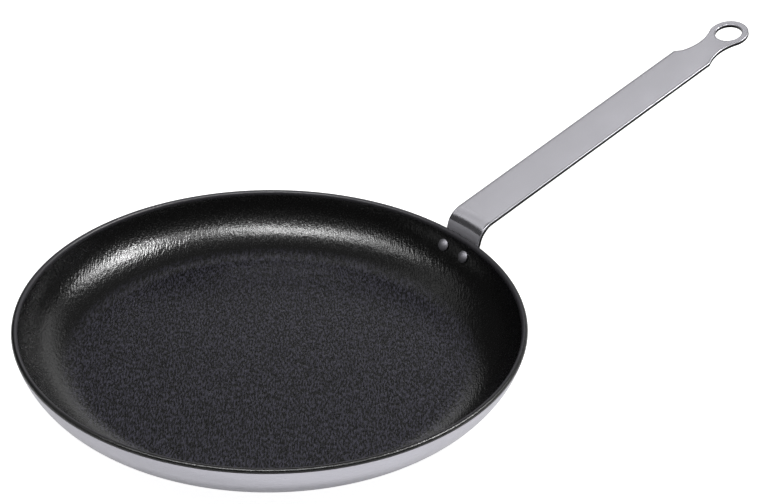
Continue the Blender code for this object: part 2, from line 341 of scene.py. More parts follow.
# %% [markdown]
# ## The strip's path
# The handle is punched flat from steel strip and then bent: its flap follows the wall outside, a
# round bend turns it over the rim, and the rest runs straight up and away. A point of the flat
# blank is a length along, a width across and a depth below the face that ends up on top. A Curve
# modifier would bend the blank too, but it wouldn't wrap the flap round the wall as well.

# %% Sizes of the strip
STRIP_WIDTH = 0.027
STRIP_THICKNESS = 0.0025
STRIP_EDGE = 0.0006
STRIP_GAP = 0.0003
FLAP_LENGTH = 0.018
FLAP_CORNER = 0.005
BEND_RISE = 0.0041
BEND_RADIUS = 0.0125
HANDLE_SLOPE = math.radians(15.4)
HANDLE_RUN = 0.182
SHOULDER_RUN = 0.0032
SHOULDER_ROUND = 0.0012
EYE_DISTANCE = 0.0333
EYE_OFFSET = -0.0017
EYE_HOLE_RADIUS = 0.0082
EYE_RING = 0.0042
EYE_RADIUS = EYE_HOLE_RADIUS + EYE_RING
NECK_WIDTH = 0.017
NECK_RADIUS = 0.027
print("strip", STRIP_WIDTH * 1000, "x", STRIP_THICKNESS * 1000, "mm")

# %% Bend a flat blank
FLAP_ARC = (FLAP_LENGTH - STRAIGHT_WALL) * (CORNER_RADIUS + STRIP_GAP) / CORNER_RADIUS
BEND_START = FLAP_ARC + STRAIGHT_WALL + BEND_RISE
BEND_END = BEND_START + BEND_RADIUS * (WALL_ANGLE - HANDLE_SLOPE)
SHOULDER = BEND_END + HANDLE_RUN
EYE = SHOULDER + EYE_DISTANCE


def bent(blank, depth):
    """Points of the bent strip, from lengths along and across its flat blank and a depth.

    The top face's slope is the wall's on the flap, falls evenly round the bend and then stays. Its
    place is the sum of that slope along the way: an arc, a line, an arc and a line. Each point then
    lies its depth below that face. On the flap a width across is a turn round the pan's axis, and
    this fades to a flat strip along the bend.
    """
    along, across = blank[..., 0], blank[..., 1]
    reach = CORNER_RADIUS + STRIP_GAP
    slope = np.where(
        along < FLAP_ARC,
        WALL_ANGLE - (FLAP_ARC - along) / reach,
        np.clip(WALL_ANGLE - (along - BEND_START) / BEND_RADIUS, HANDLE_SLOPE, WALL_ANGLE),
    )
    outside = WALL_TOP + OUT_OF_WALL * STRIP_GAP
    start = outside + UP_THE_WALL * BEND_RISE
    straight = start - UP_THE_WALL * np.maximum(BEND_START - along, 0)[..., None]
    arc = np.stack([BASE_RADIUS + reach * np.sin(slope), CORNER_RADIUS - reach * np.cos(slope)], -1)
    turn = np.stack([
        start[0] + BEND_RADIUS * (math.sin(WALL_ANGLE) - np.sin(slope)),
        start[1] + BEND_RADIUS * (np.cos(slope) - math.cos(WALL_ANGLE)),
    ], -1)
    ahead = np.array([math.cos(HANDLE_SLOPE), math.sin(HANDLE_SLOPE)])
    turn += ahead * np.maximum(along - BEND_END, 0)[..., None]
    top = np.where((along < FLAP_ARC)[..., None], arc, straight)
    top = np.where((along > BEND_START)[..., None], turn, top)
    x = top[..., 0] + depth * np.sin(slope)
    z = top[..., 1] - depth * np.cos(slope)
    share = np.clip((along - BEND_START) / (BEND_END - BEND_START), 0, 1)
    hug = 1 - share * share * (3 - 2 * share)
    swing = across / RIM_RADIUS
    round_x, round_y = x * np.cos(swing), x * np.sin(swing)
    return np.stack([x + hug * (round_x - x), across + hug * (round_y - across), z], -1)


# %% [markdown]
# ## The strip's outline
# Each side runs from the flap's rounded corner along the straight edge, over a drawn-in shoulder
# and a hollow neck, and round the ring of the hanging eye. The eye sits a little off the middle.
# The punched edges are rounded, so the flat faces end that rounding short of the outline. Boxes
# and discs joined by Booleans would come close, but an arc that touches the ring lets the neck run
# into it without a kink.

# %% One side of the outline
STRIP_STEP = 0.001
CORNER_STEPS = 16
SHOULDER_STEPS = 8
NECK_STEPS = 16
RING_STEPS = 40
# Two points on the line from the shoulder to the neck, as shares of its length.
THIRDS = np.array([[0.66], [0.33]])


def arc(centre, radius, start, end, steps):
    """Points on a circle between two angles."""
    turn = np.linspace(start, end, steps + 1)
    return np.stack([centre[0] + radius * np.cos(turn), centre[1] + radius * np.sin(turn)], -1)


def strip_side(side):
    """Outline of one side of the blank, from the flap's end to the tip of the eye.

    The hollow of the neck is an arc that touches the ring, and the neck is narrowest beside the
    arc's centre. The corner before it is rounded, between the straight edge and the line to the
    neck.
    """
    half = STRIP_WIDTH / 2
    round_it = (math.pi, math.pi / 2, CORNER_STEPS)
    flap_corner = arc((FLAP_CORNER, half - FLAP_CORNER), FLAP_CORNER, *round_it)
    flap_corner[:, 1] *= side

    level = NECK_WIDTH / 2 + NECK_RADIUS
    neck = EYE - math.sqrt((NECK_RADIUS + EYE_RADIUS) ** 2 - level ** 2)
    first = math.acos((SHOULDER + SHOULDER_RUN - neck) / NECK_RADIUS)
    touch = math.atan2(level, EYE - neck)
    hollow = arc((neck, level), NECK_RADIUS, -first, -touch, NECK_STEPS)
    ring = arc((EYE, 0), EYE_RADIUS, math.pi - touch, 0, RING_STEPS)
    tail = np.concatenate([hollow, ring[1:]])
    tail[:, 1] = EYE_OFFSET + side * tail[:, 1]

    corner = np.array([SHOULDER, side * half])
    back = np.array([-1.0, 0.0])
    onward = (tail[0] - corner) / np.linalg.norm(tail[0] - corner)
    middle = back + onward
    half_angle = math.acos(float(back @ onward)) / 2
    centre = corner + middle / np.linalg.norm(middle) * SHOULDER_ROUND / math.sin(half_angle)
    begin = corner + back * SHOULDER_ROUND / math.tan(half_angle) - centre
    bend = (math.pi - 2 * half_angle) * -side
    first = math.atan2(begin[1], begin[0])
    shoulder = arc(centre, SHOULDER_ROUND, first, first + bend, SHOULDER_STEPS)

    run = np.arange(FLAP_CORNER, SHOULDER - 2 * SHOULDER_ROUND, STRIP_STEP)[1:]
    edge = np.stack([run, np.full_like(run, side * half)], -1)
    slope = tail[0] + (shoulder[-1] - tail[0]) * THIRDS
    return np.concatenate([flap_corner, edge, shoulder, slope, tail])


def outward(line, closed):
    """Unit normals of a line of points, to the right of the way that it runs."""
    if closed:
        way = np.roll(line, -1, 0) - np.roll(line, 1, 0)
    else:
        way = np.gradient(line, axis=0)
    way /= np.linalg.norm(way, axis=1)[:, None]
    return np.stack([way[:, 1], -way[:, 0]], -1)


# %% The strip's flat faces
STRIP_COLUMNS = 16
EYE_RINGS = 10
# The plain grid of the faces gives way to the rings round the eye this far before its centre.
EYE_FIELD = 1.35 * EYE_RADIUS
ROOM_ACROSS = 0.0044
right_side, left_side = strip_side(-1), strip_side(1)
LAST = len(right_side) - 1
end_share = np.linspace(0, 1, STRIP_COLUMNS + 1)[:, None]
end_line = left_side[0] + (right_side[0] - left_side[0]) * end_share
outline = np.concatenate([right_side, left_side[::-1][1:], end_line[1:-1]])
normals = outward(outline, closed=True)
face_line = outline - normals * STRIP_EDGE
right_rail, left_rail = face_line[:LAST + 1], face_line[LAST:2 * LAST + 1][::-1]
face_line[2 * LAST + 1:] = (left_rail[0] + (right_rail[0] - left_rail[0]) * end_share)[1:-1]

CUT = int(np.argmin(np.abs(right_side[:, 0] - (EYE - EYE_FIELD))))
across_share = end_share[None, :, :]
flat_face = left_rail[:CUT + 1, None] * (1 - across_share)
flat_face = flat_face + right_rail[:CUT + 1, None] * across_share
eye_border = np.concatenate([
    flat_face[-1], right_rail[CUT + 1:], left_rail[CUT:-1][::-1],
])
eye_centre = np.array([EYE, EYE_OFFSET])
eye_ring = circle_ring(eye_border, eye_centre, EYE_HOLE_RADIUS + STRIP_EDGE, EYE_RINGS)

flat_keep = np.ones((CUT, STRIP_COLUMNS), bool)
flap_rings = []
FLAP_STRETCH = (CORNER_RADIUS + STRIP_GAP) / CORNER_RADIUS
RIVET_ALONG = FLAP_ARC - (RIVET_DROP - STRAIGHT_WALL) * FLAP_STRETCH
for side in (1, -1):
    centre = np.array([RIVET_ALONG, side * RIVET_SPACING / 2])
    rows = np.where(np.abs(left_rail[:CUT, 0] - centre[0]) < ROOM_DOWN)[0]
    columns = np.where(np.abs(flat_face[rows[0], :, 1] - centre[1]) < ROOM_ACROSS)[0]
    flat_keep[rows[0]:rows[-1], columns[0]:columns[-1]] = False
    border = block_border(left_rail[rows, 0], flat_face[rows[0], columns, 1])
    flap_rings.append(circle_ring(border, centre, RIVET_HOLE, HOLE_RINGS))
print("flat face:", CUT, "rows of", STRIP_COLUMNS, "steps")

# %% The strip's rounded edges
EDGE_STEPS = 6
LAND_STEPS = 8
# Shares of near-black paint by depth: the torn zone, and painted shade on the edge and its roll-over.
TEAR_DEPTHS = np.array([0, 0.00003, 0.00042, 0.00052, STRIP_THICKNESS])
TEAR_AND_SHADE_SHARES = np.array([0, 0.35, 0.35, 1, 1])


def edge_band(line, away):
    """Grid of a rounded edge: a quarter circle, the strip's thickness and a quarter circle.

    Row k of it is the line pushed out, away from the metal, and down from the top face. The
    fourth number is the share of near-black paint, for the torn zone and as painted shade on the
    edge: about a third of it where the face rolls over, dimming its glint, and all of it from half a
    millimetre down.
    """
    turn = np.linspace(0, math.pi / 2, EDGE_STEPS + 1)
    land = np.linspace(STRIP_EDGE, STRIP_THICKNESS - STRIP_EDGE, LAND_STEPS + 1)[1:-1]
    round_push = STRIP_EDGE * np.sin(turn)
    push = np.concatenate([round_push, np.full_like(land, STRIP_EDGE), round_push[::-1]])
    fall = STRIP_EDGE * (1 - np.cos(turn))
    depth = np.concatenate([fall, land, STRIP_THICKNESS - fall[::-1]])
    band = line[None] + away[None] * push[:, None, None]
    tear_and_edge_shade = np.interp(depth, TEAR_DEPTHS, TEAR_AND_SHADE_SHARES)
    tear_and_edge_shade = np.broadcast_to(tear_and_edge_shade[:, None, None], (*band.shape[:2], 1))
    return np.concatenate([bent(band, depth[:, None]), tear_and_edge_shade], -1)


def closed(line):
    """A line of points with its first one repeated at its end."""
    return np.concatenate([line, line[:1]])


eye_line = eye_ring[-1]
eye_inward = eye_centre - eye_line
eye_inward /= np.linalg.norm(eye_inward, axis=1)[:, None]
strip_grids = [
    (edge_band(closed(face_line), closed(normals)), None),
    (edge_band(eye_line, eye_inward), None),
]
for depth in (0, STRIP_THICKNESS):
    strip_grids.append((bent(flat_face, depth), flat_keep))
    strip_grids.append((bent(eye_ring, depth), None))
    strip_grids += [(bent(ring, depth), None) for ring in flap_rings]
strip_grids += bores(
    [bent(ring[-1], 0) for ring in flap_rings],
    [bent(ring[-1], STRIP_THICKNESS) for ring in flap_rings],
)
print("strip", round(EYE + EYE_RADIUS, 4), "m long before bending")

# %% [markdown]
# ## The rivets
# Each rivet is a round shank with a low domed head on either side of the wall and the strip. It is
# a turned shape about its own axis, which stands square to the wall. A squashed sphere on a
# cylinder would pass at a glance, but a cap on a short straight edge keeps the head's rim crisp.

# %% Grids of a rivet
RIVET_HEAD = 0.0035
RIVET_DOME = 0.0015
RIVET_EDGE = 0.0004
RIVET_SEAT = 0.0003
RIVET_AROUND = 72
CAP_STEPS = 14


def rivet_curve():
    """Radius and place along the axis of a rivet, from the top of its inner head to the outer one.

    A head is a spherical cap on a short edge. Zero is the wall's outside, and up is into the pan.
    """
    ball = (RIVET_HEAD ** 2 + RIVET_DOME ** 2) / (2 * RIVET_DOME)
    turn = np.linspace(0, math.asin(RIVET_HEAD / ball), CAP_STEPS + 1)
    cap = np.stack([ball * np.sin(turn), ball * np.cos(turn) - ball + RIVET_DOME + RIVET_EDGE], -1)
    hollow = RIVET_HEAD ** 2 / (2 * (CORNER_RADIUS - WALL))
    inner_seat = WALL + RIVET_SEAT + hollow
    outer_seat = -(STRIP_GAP + STRIP_THICKNESS + RIVET_SEAT)
    shank = [[RIVET_HEAD, inner_seat], [RIVET_SHANK, inner_seat],
             [RIVET_SHANK, outer_seat], [RIVET_HEAD, outer_seat]]
    return np.concatenate([cap + [0, inner_seat], shank, cap[::-1] * [1, -1] + [0, outer_seat]])


def rivet_grid(side):
    """Grid of a rivet in its place: out from its axis, round it, and along it."""
    curve, around = rivet_curve(), np.linspace(0, 2 * math.pi, RIVET_AROUND + 1)
    place = wall_curve(RIVET_DROP, 0)
    slope = WALL_ANGLE - (RIVET_DROP - STRAIGHT_WALL) / CORNER_RADIUS
    inward = np.array([-math.sin(slope), 0, math.cos(slope)])
    upward = np.array([math.cos(slope), 0, math.sin(slope)])
    level = np.array([0, 1.0, 0])
    radius, along = curve[:, 0][:, None, None], curve[:, 1][:, None, None]
    out = np.cos(around)[None, :, None] * level + np.sin(around)[None, :, None] * upward
    grid = np.array([place[0], 0, place[1]]) + radius * out + along * inward
    turn = side * RIVET_TURN
    x, y = grid[..., 0], grid[..., 1]
    swung_x = x * math.cos(turn) - y * math.sin(turn)
    swung_y = x * math.sin(turn) + y * math.cos(turn)
    return np.stack([swung_x, swung_y, grid[..., 2]], -1)


print("rivet heads", RIVET_HEAD * 2000, "mm wide")

# %% [markdown]
# ## Nodes and colours
# A colour is written as an sRGB hex value and turned to the linear light that the shader works in.
# Nodes could be wired by hand in the editor, but a script can be read and run again. One function
# adds a node, sets what it is given and links the rest. The others hold the few groups of nodes
# that more than one finish needs.


# %% Colours, nodes and materials
def linear(code):
    """Linear colour of an sRGB hex code: the curve's toe is a line, the rest a power of 2.4."""
    srgb = np.array([int(code[i:i + 2], 16) for i in (1, 3, 5)]) / 255
    light = np.where(srgb <= 0.04045, srgb / 12.92, ((srgb + 0.055) / 1.055) ** 2.4)
    return (*light.tolist(), 1.0)


def add_node(tree, kind, settings=None, links=None):
    """Add a node of a kind, set its fields or sockets, and link sockets to other nodes' outputs."""
    made = tree.nodes.new("ShaderNode" + kind)
    for key, value in (settings or {}).items():
        if isinstance(key, str) and hasattr(made, key):
            setattr(made, key, value)
        else:
            made.inputs[key].default_value = value
    for key, output in (links or {}).items():
        tree.links.new(output, made.inputs[key])
    return made


def new_material(name, **sockets):
    """A Principled material with its constant sockets set, and its tree and shader to build on."""
    material = bpy.data.materials.new(name)
    material.use_nodes = True
    shader = material.node_tree.nodes["Principled BSDF"]
    for key, value in sockets.items():
        shader.inputs[key.replace("_", " ")].default_value = value
    return material, material.node_tree, shader


# %% Groups of nodes that finishes share
def stretched_noise(tree, coords, length, width, turn=0.0, detail=0.0):
    """Noise of long narrow blobs, whose long side is turned from the X axis by an angle."""
    lay = add_node(
        tree, "Mapping",
        {"vector_type": "TEXTURE", "Rotation": (0, 0, -turn), "Scale": (length, width, length)},
        {"Vector": coords.outputs["Object"]},
    )
    return add_node(tree, "TexNoise", {"Scale": 1.0, "Detail": detail}, {"Vector": lay.outputs[0]})


def away_from_axis(tree, apart):
    """Distance of a point from the pan's axis: the length of its X and Y, with Z left out."""
    level_out = add_node(
        tree, "CombineXYZ", links={"X": apart.outputs["X"], "Y": apart.outputs["Y"]},
    )
    reach = add_node(tree, "VectorMath", {"operation": "LENGTH"}, {0: level_out.outputs[0]})
    return reach.outputs["Value"]


def plug_in(tree, shader, colour, rough, bump):
    """Link a finish's colour, roughness and bump to its shader."""
    for socket, output in (("Base Color", colour), ("Roughness", rough), ("Normal", bump)):
        tree.links.new(output, shader.inputs[socket])


# %% [markdown]
# ## Satin aluminium
# The outside is bare pressed aluminium, dressed on a lathe and etched satin. The eye sees an even
# pale grey with a soft sheen, and only up close the fine rings that the tool left. The rings lie
# at equal radius plus height, which is the same thing as a way up the wall. A picture of turned
# metal could be wrapped on, but it would show a seam, and noise along that way has none. Such
# rings are taken to be 0.2 mm apart, which is under half a pixel here. They are drawn 0.7 mm
# apart, so that they show.

# %% Material of the body
RING_SPACING = 0.0007
RING_DEPTH = 0.00003
CLOUDS_PER_METRE = 30.0
aluminium, tree, shader = new_material("satin_etched_aluminium", Metallic=1.0)
coords = add_node(tree, "TexCoord")
apart = add_node(tree, "SeparateXYZ", links={0: coords.outputs["Object"]})
way_up = add_node(
    tree, "Math", {"operation": "ADD"}, {0: away_from_axis(tree, apart), 1: apart.outputs["Z"]},
)
rings = add_node(
    tree, "TexNoise", {"noise_dimensions": "1D", "Scale": 1 / RING_SPACING, "Detail": 2.0},
    {"W": way_up.outputs[0]},
)
cloud = add_node(
    tree, "TexNoise", {"Scale": CLOUDS_PER_METRE, "Detail": 3.0},
    {"Vector": coords.outputs["Object"]},
)
tone = add_node(
    tree, "MapRange", {"To Min": 0.94, "To Max": 1.04}, {"Value": cloud.outputs["Fac"]},
)
colour = add_node(
    tree, "Mix", {"data_type": "RGBA", "blend_type": "MULTIPLY", 0: 1.0, 6: linear("#BFBEC6")},
    {7: tone.outputs[0]},
)
rough = add_node(
    tree, "MapRange", {"To Min": 0.24, "To Max": 0.38}, {"Value": rings.outputs["Fac"]},
)
bump = add_node(
    tree, "Bump", {"Strength": 0.25, "Distance": RING_DEPTH}, {"Height": rings.outputs["Fac"]},
)
plug_in(tree, shader, colour.outputs[2], rough.outputs[0], bump.outputs[0])
print("rings on the body every", RING_SPACING * 1000, "mm")

# %% [markdown]
# ## Sprayed non-stick coat
# A dark fluoropolymer is sprayed over a grit-blasted sheet that was brushed one way, and baked.
# The eye sees a nearly black surface with a sheen. Its grain of small peaks is longer than wide:
# up the wall the peaks break the reflected lamps into short streaks, and on the floor the higher
# peaks are painted dark grey. The grain is the coat's own, but the grey of these flecks, which only
# the floor gets, is painted sheen. The crest of the lip is rubbed a little duller, and it is also
# painted a little greyer, as a painted sheen. The coat's outer edge stays black. A picture of such
# a coat would repeat, and noise doesn't. The real peaks are too fine to measure here and are taken
# to be half a millimetre wide. They are drawn 0.8 mm wide, because finer ones fall between the
# pixels and only blur the sheen.

# %% Grain of the coat
GRAIN_TURN = math.radians(-49.29)
GRAIN_WIDTH = 0.0008
GRAIN_LENGTH = 0.0028
STREAK_LENGTH = 0.016
PEAKS_PER_METRE = 1300.0
PEAK_SHARE = 0.5
STREAK_SHARE = 0.35
coat, tree, shader = new_material("sprayed_nonstick_coat", IOR=1.6)
coords = add_node(tree, "TexCoord")
grain = stretched_noise(tree, coords, GRAIN_LENGTH, GRAIN_WIDTH, GRAIN_TURN)
streaks = stretched_noise(tree, coords, STREAK_LENGTH, GRAIN_WIDTH, GRAIN_TURN)
peaks = add_node(
    tree, "TexNoise", {"Scale": PEAKS_PER_METRE, "Detail": 0.0},
    {"Vector": coords.outputs["Object"]},
)
height = add_node(
    tree, "Math", {"operation": "MULTIPLY_ADD", 1: PEAK_SHARE},
    {0: peaks.outputs["Fac"], 2: grain.outputs["Fac"]},
)
height = add_node(
    tree, "Math", {"operation": "MULTIPLY_ADD", 1: STREAK_SHARE},
    {0: streaks.outputs["Fac"], 2: height.outputs[0]},
)
print("grain of the coat", GRAIN_LENGTH * 1000, "x", GRAIN_WIDTH * 1000, "mm")

# %% Colours of the coat
# The flecks are the higher part of the grain. Their grey is painted sheen that only the floor gets:
# it fades out within 2.5 mm above the coat's face on the floor. The crest, painted greyer as a
# sheen, and the bead are told apart by how far from the axis they lie.
FLECK_FROM, FLECK_TO = 0.40, 0.70
FLOOR_SHEEN_LOW, FLOOR_SHEEN_HIGH = WALL, WALL + 0.0025
CREST_WEAR_AND_SHEEN_FROM = RIM_RADIUS - 0.0036
BEAD_FROM = RIM_RADIUS - 0.0014
FADE = 0.0004
apart = add_node(tree, "SeparateXYZ", links={0: coords.outputs["Object"]})
# Painted sheen: this mask keeps the grey flecks to the floor, where the sheen falls.
painted_floor_sheen = add_node(
    tree, "MapRange", {"From Min": FLOOR_SHEEN_HIGH, "From Max": FLOOR_SHEEN_LOW},
    {"Value": apart.outputs["Z"]},
)
fleck = add_node(
    tree, "MapRange", {"From Min": FLECK_FROM, "From Max": FLECK_TO},
    {"Value": grain.outputs["Fac"]},
)
share = add_node(
    tree, "Math", {"operation": "MULTIPLY"}, {0: fleck.outputs[0], 1: painted_floor_sheen.outputs[0]},
)
# The grain is the coat's own; its grey on the floor is painted sheen.
flecks_and_floor_sheen = add_node(
    tree, "Mix", {"data_type": "RGBA", 6: linear("#030303"), 7: linear("#2D2C35")},
    {0: share.outputs[0]},
)
reach = away_from_axis(tree, apart)
# The crest mask makes the lip duller, from rubbing, and paints it greyer, as a painted sheen.
rubbed_and_sheen_crest = add_node(
    tree, "MapRange", {"From Min": CREST_WEAR_AND_SHEEN_FROM, "From Max": CREST_WEAR_AND_SHEEN_FROM + FADE}, {"Value": reach},
)
bead = add_node(
    tree, "MapRange", {"From Min": BEAD_FROM - FADE, "From Max": BEAD_FROM}, {"Value": reach},
)
# Painted sheen: the crest's colour is mixed towards grey.
painted_crest_sheen = add_node(
    tree, "Mix", {"data_type": "RGBA", 7: linear("#2A292D")},
    {0: rubbed_and_sheen_crest.outputs[0], 6: flecks_and_floor_sheen.outputs[2]},
)
colour = add_node(
    tree, "Mix", {"data_type": "RGBA", 7: linear("#020202")},
    {0: bead.outputs[0], 6: painted_crest_sheen.outputs[2]},
)
print("lip rubbed from", CREST_WEAR_AND_SHEEN_FROM * 1000, "mm out, bead from", BEAD_FROM * 1000, "mm out")

# %% Sheen of the coat
RUBBED_ROUGHNESS = 0.4
BEAD_ROUGHNESS = 0.3
GRAIN_DEPTH = 0.00014
rough_coat = add_node(
    tree, "MapRange", {"From Min": 0.3, "From Max": 0.7, "To Min": 0.17, "To Max": 0.28},
    {"Value": peaks.outputs["Fac"]},
)
rough_crest = add_node(
    tree, "Mix", {"data_type": "FLOAT", 3: RUBBED_ROUGHNESS},
    {0: rubbed_and_sheen_crest.outputs[0], 2: rough_coat.outputs[0]},
)
rough = add_node(
    tree, "Mix", {"data_type": "FLOAT", 3: BEAD_ROUGHNESS},
    {0: bead.outputs[0], 2: rough_crest.outputs[0]},
)
bump = add_node(
    tree, "Bump", {"Strength": 1.0, "Distance": GRAIN_DEPTH}, {"Height": height.outputs[0]},
)
plug_in(tree, shader, colour.outputs[2], rough.outputs[0], bump.outputs[0])
print("coat:", len(tree.nodes), "nodes")

# %% [markdown]
# ## Satin steel
# The handle is cold-rolled steel strip, punched, bent and tumbled to a satin finish. The eye sees
# a soft grey with clear but softened reflections, a faint grain along the strip from rolling, and
# a duller foot where the bending die held it. The straight run, which the tumbling stones reach
# best, also scatters some light evenly. A punched edge shows what the punch did: a roll-over that
# glints, and a rough torn zone below it. That zone is painted near black, darker than torn steel,
# as painted shade on the edge, and a third of that dark is painted over the roll-over's glint. The
# share of this dark paint is kept at the edge's points, which is exact where a pattern would be a
# guess. The rolling marks are taken to be 0.1 mm wide. They are drawn 0.6 mm wide, about a pixel
# here, so that they show.

# %% Grain and tone of the steel
ROLL_WIDTH = 0.0006
ROLL_LENGTH = 0.030
STAINS_PER_METRE = 60.0
steel, tree, shader = new_material("satin_rolled_steel")
coords = add_node(tree, "TexCoord")
rolled = stretched_noise(tree, coords, ROLL_LENGTH, ROLL_WIDTH, detail=3.0)
cloud = add_node(
    tree, "TexNoise", {"Scale": STAINS_PER_METRE, "Detail": 2.0},
    {"Vector": coords.outputs["Object"]},
)
both = add_node(
    tree, "Math", {"operation": "ADD"}, {0: rolled.outputs["Fac"], 1: cloud.outputs["Fac"]},
)
tone = add_node(
    tree, "MapRange", {"From Min": 0.6, "From Max": 1.4, "To Min": 0.95, "To Max": 1.04},
    {"Value": both.outputs[0]},
)
satin = add_node(
    tree, "Mix", {"data_type": "RGBA", "blend_type": "MULTIPLY", 0: 1.0, 6: linear("#DAD9E0")},
    {7: tone.outputs[0]},
)
rough_satin = add_node(
    tree, "MapRange", {"From Min": 0.6, "From Max": 1.4, "To Min": 0.16, "To Max": 0.24},
    {"Value": both.outputs[0]},
)
print("rolling marks", ROLL_LENGTH * 1000, "x", ROLL_WIDTH * 1000, "mm")

# %% Scuffs and tears of the steel
SCUFF_HEIGHT = 0.0358
SCUFF_FADE = 0.0007
SCUFFED_ROUGHNESS = 0.5
TORN_ROUGHNESS = 0.5
BEND_TOP = 0.0418
BEND_FADE = 0.0015
TUMBLED_METAL = 0.83
ROLL_DEPTH = 0.00002
apart = add_node(tree, "SeparateXYZ", links={0: coords.outputs["Object"]})
scuffed = add_node(
    tree, "MapRange", {"From Min": SCUFF_HEIGHT + SCUFF_FADE, "From Max": SCUFF_HEIGHT},
    {"Value": apart.outputs["Z"]},
)
rough_scuff = add_node(
    tree, "Mix", {"data_type": "FLOAT", 3: SCUFFED_ROUGHNESS},
    {0: scuffed.outputs[0], 2: rough_satin.outputs[0]},
)
# Painted shade: the torn zone is painted near black, darker than torn steel, and a third of it dims
# the roll-over's glint.
tear_and_edge_shade = add_node(tree, "Attribute", {"attribute_name": "tear_and_edge_shade"})
colour = add_node(
    tree, "Mix", {"data_type": "RGBA", 7: linear("#0A0A0B")},
    {0: tear_and_edge_shade.outputs["Fac"], 6: satin.outputs[2]},
)
rough = add_node(
    tree, "Mix", {"data_type": "FLOAT", 3: TORN_ROUGHNESS},
    {0: tear_and_edge_shade.outputs["Fac"], 2: rough_scuff.outputs[0]},
)
tumbled = add_node(
    tree, "MapRange",
    {"From Min": BEND_TOP, "From Max": BEND_TOP + BEND_FADE, "To Min": 1.0, "To Max": TUMBLED_METAL},
    {"Value": apart.outputs["Z"]},
)
bump = add_node(
    tree, "Bump", {"Strength": 0.15, "Distance": ROLL_DEPTH}, {"Height": rolled.outputs["Fac"]},
)
tree.links.new(tumbled.outputs[0], shader.inputs["Metallic"])
plug_in(tree, shader, colour.outputs[2], rough.outputs[0], bump.outputs[0])
print("foot scuffed below", SCUFF_HEIGHT * 1000, "mm, run tumbled above", BEND_TOP * 1000, "mm")

# %% [markdown]
# ## Bare rivets
# The rivets are soft aluminium, headed cold in the press and dulled by use. The eye sees small
# grey domes with a blurred highlight and faint dents from the tool. The dents, the tone and the
# dullness could each have a noise of their own. They share one, because the same knocks make all
# three.

# %% Material of the rivets
DENTS_PER_METRE = 500.0
DENT_DEPTH = 0.00004
rivet_metal, tree, shader = new_material("headed_aluminium", Metallic=1.0)
coords = add_node(tree, "TexCoord")
dents = add_node(
    tree, "TexNoise", {"Scale": DENTS_PER_METRE, "Detail": 2.0},
    {"Vector": coords.outputs["Object"]},
)
colour = add_node(
    tree, "Mix", {"data_type": "RGBA", 6: linear("#88878D"), 7: linear("#A2A1A7")},
    {0: dents.outputs["Fac"]},
)
rough = add_node(
    tree, "MapRange", {"To Min": 0.54, "To Max": 0.66}, {"Value": dents.outputs["Fac"]},
)
bump = add_node(
    tree, "Bump", {"Strength": 0.3, "Distance": DENT_DEPTH}, {"Height": dents.outputs["Fac"]},
)
plug_in(tree, shader, colour.outputs[2], rough.outputs[0], bump.outputs[0])
print("materials:", [material.name for material in (aluminium, coat, steel, rivet_metal)])

# %% [markdown]
# ## The pieces in the frame
# Each finished piece stands for the imported node of the same part, which is hidden, and rides on
# the pan's one body. A piece could be parented by hand, but these calls also hide the node that it
# stands for and print how far its box lies from the node's.

# %% Make the pieces
pieces = {
    "pan_body": piece_from("pressed_body", body_grids, aluminium),
    "nonstick_coating": piece_from("sprayed_coat", coat_grids, coat),
    "handle": piece_from("bent_strip", strip_grids, steel),
    "rivet_left": piece_from("left_rivet", [(rivet_grid(1), None)], rivet_metal),
    "rivet_right": piece_from("right_rivet", [(rivet_grid(-1), None)], rivet_metal),
}
for node_name, piece in pieces.items():
    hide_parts(node_name)
    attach(piece, "root")
    corners = np.array([v.co for v in piece.data.vertices])
    drift = max(
        np.abs(corners.min(0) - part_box(node_name)[0]).max(),
        np.abs(corners.max(0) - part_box(node_name)[1]).max(),
    )
    print(piece.name, "box is within", round(drift * 1000, 3), "mm of its node's box")

# %% [markdown]
# ## The studio
# The pan stands on a white table inside a dark tent, which is a little lighter overhead. Flat
# rectangles of light hang where the photo's reflections put them: two strong lamps draw the bright
# band along the wall, cards carry it on to both sides, a dim backdrop gives the floor its sheen,
# and a long card lies where the strip's face looks. The camera sees neither tent nor lights, only
# the white table and the white room behind. A picture of a studio would light the pan too, but a
# rectangle can be moved by itself until its reflection sits right.

# %% Table
# The camera sees the table nearly white. A reflection sees it as dim as a table in the tent's shade.
TABLE_RADIUS = 12.0
TABLE_DROP = 0.0002
GLOW_SEEN = 0.92
GLOW_MIRRORED = 0.35
table_mesh = bpy.data.meshes.new("table")
corners = TABLE_RADIUS * np.array([[-1, -1, 0], [1, -1, 0], [1, 1, 0], [-1, 1, 0]])
table_mesh.from_pydata(corners.tolist(), [], [[0, 1, 2, 3]])
table = bpy.data.objects.new("table", table_mesh)
bpy.context.scene.collection.objects.link(table)
table.location.z = -TABLE_DROP
white, tree, shader = new_material("white_table", Roughness=0.9)
shader.inputs["Base Color"].default_value = linear("#B4B4B4")
path = add_node(tree, "LightPath")
mirrored = add_node(
    tree, "Math", {"operation": "MAXIMUM"},
    {0: path.outputs["Is Glossy Ray"], 1: path.outputs["Is Transmission Ray"]},
)
mirrored = add_node(
    tree, "Math", {"operation": "MULTIPLY", 1: GLOW_MIRRORED}, {0: mirrored.outputs[0]},
)
lift = add_node(
    tree, "Math", {"operation": "MULTIPLY_ADD", 1: GLOW_SEEN},
    {0: path.outputs["Is Camera Ray"], 2: mirrored.outputs[0]},
)
shader.inputs["Emission Color"].default_value = (1, 1, 1, 1)
tree.links.new(lift.outputs[0], shader.inputs["Emission Strength"])
table_mesh.materials.append(white)
print("table", 2 * TABLE_RADIUS, "m wide")

# %% Tent
TENT_RADIUS = 3.0
TENT_GORES = 48
TENT_ROWS = 24
